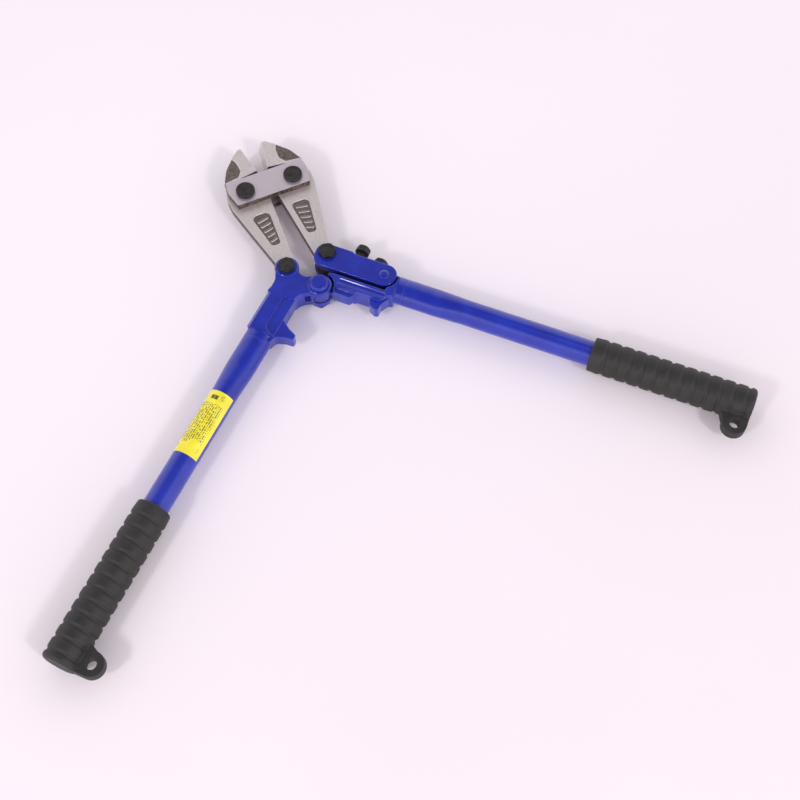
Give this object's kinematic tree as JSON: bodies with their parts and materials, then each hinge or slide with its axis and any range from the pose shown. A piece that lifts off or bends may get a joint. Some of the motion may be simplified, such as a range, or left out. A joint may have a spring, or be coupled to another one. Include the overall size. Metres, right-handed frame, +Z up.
{
  "type": "bolt cutter",
  "caption": "Long-handled lever bolt cutter with compound linkage, strapped jaws, adjuster link and rubber grips, lying open on its side.",
  "frame": {"origin": "on the centre pivot's axis, at the underside of the centre pivot nut, which is the plane the tool lies on", "axes": "+Y along the tool from the centre pivot towards the jaws, +X to the right handle's side, +Z up, along the pivot bolts"},
  "size_m": [0.8649, 0.625, 0.043],
  "materials": {
    "blue_paint": "gloss",
    "jaw_steel": "ground",
    "strap_steel": "ground",
    "black_steel": "black oxide",
    "bare_steel": "satin",
    "grip_rubber": "matt",
    "label_film": "printed film"
  },
  "bodies": {
    "left_handle": {"left_head": "blue_paint", "left_tube": "blue_paint", "left_tube_pin": "bare_steel", "left_grip": "grip_rubber", "tube_label": "label_film", "pivot_bolt": "blue_paint", "pivot_washer": "bare_steel", "pivot_nut": "black_steel", "left_tail_bolt": "black_steel", "left_tail_nut": "black_steel"},
    "right_handle": {"right_head": "blue_paint", "right_tube": "blue_paint", "right_tube_pin": "bare_steel", "right_grip": "grip_rubber", "link_rivet": "blue_paint"},
    "adjuster_link": {"adjuster_link": "blue_paint", "right_tail_bolt": "black_steel", "right_tail_nut": "black_steel", "adjusting_lock_nut": "black_steel"},
    "adjusting_screw": {"adjusting_screw": "black_steel"},
    "locking_screw": {"locking_screw": "black_steel", "locking_washer": "black_steel"},
    "left_jaw": {"left_jaw": "jaw_steel"},
    "straps": {"front_strap": "strap_steel", "back_strap": "strap_steel", "left_strap_bolt": "black_steel", "left_strap_washer": "bare_steel", "left_strap_nut": "black_steel", "right_strap_bolt": "black_steel", "right_strap_washer": "bare_steel", "right_strap_nut": "black_steel"},
    "right_jaw": {"right_jaw": "jaw_steel"}
  },
  "joints": [
    {"name": "handle_close", "type": "hinge", "parent": "left_handle", "child": "right_handle", "pos_m": [0, 0, 0.0215], "axis": [0, 0, -1], "range_deg": [0, 84.8]},
    {"name": "left_jaw_turn", "type": "hinge", "parent": "left_handle", "child": "left_jaw", "pos_m": [-0.02725, 0.04024, 0.0215], "axis": [0, 0, -1], "range_deg": [0, 51.19]},
    {"name": "strap_turn", "type": "hinge", "parent": "left_jaw", "child": "straps", "pos_m": [-0.03275, 0.17113, 0.0215], "axis": [0, 0, -1], "range_deg": [-8.79, 0]},
    {"name": "right_jaw_turn", "type": "hinge", "parent": "straps", "child": "right_jaw", "pos_m": [0.03275, 0.17113, 0.0215], "axis": [0, 0, -1], "range_deg": [-8.79, 0]},
    {"name": "link_adjust", "type": "hinge", "parent": "right_handle", "child": "adjuster_link", "pos_m": [0.07881, -0.01936, 0.0215], "axis": [0, 0, -1], "range_deg": [-0.6, 0.6]},
    {"name": "adjusting_screw_travel", "type": "slide", "parent": "adjuster_link", "child": "adjusting_screw", "axis": [0.7108, 0.7034, 0], "range_m": [-0.00045, 0.00045]},
    {"name": "locking_screw_travel", "type": "slide", "parent": "right_handle", "child": "locking_screw", "axis": [0.7108, 0.7034, 0], "range_m": [-0.00016, 0.00016]}
  ],
  "couplings": [
    {"joint": "left_jaw_turn", "follows": "handle_close", "ratio": 0.60337},
    {"joint": "strap_turn", "follows": "handle_close", "ratio": -0.10337},
    {"joint": "right_jaw_turn", "follows": "handle_close", "ratio": -0.10337},
    {"joint": "adjusting_screw_travel", "follows": "link_adjust", "m_per_rad": -0.0417},
    {"joint": "locking_screw_travel", "follows": "link_adjust", "m_per_rad": 0.0137}
  ]
}
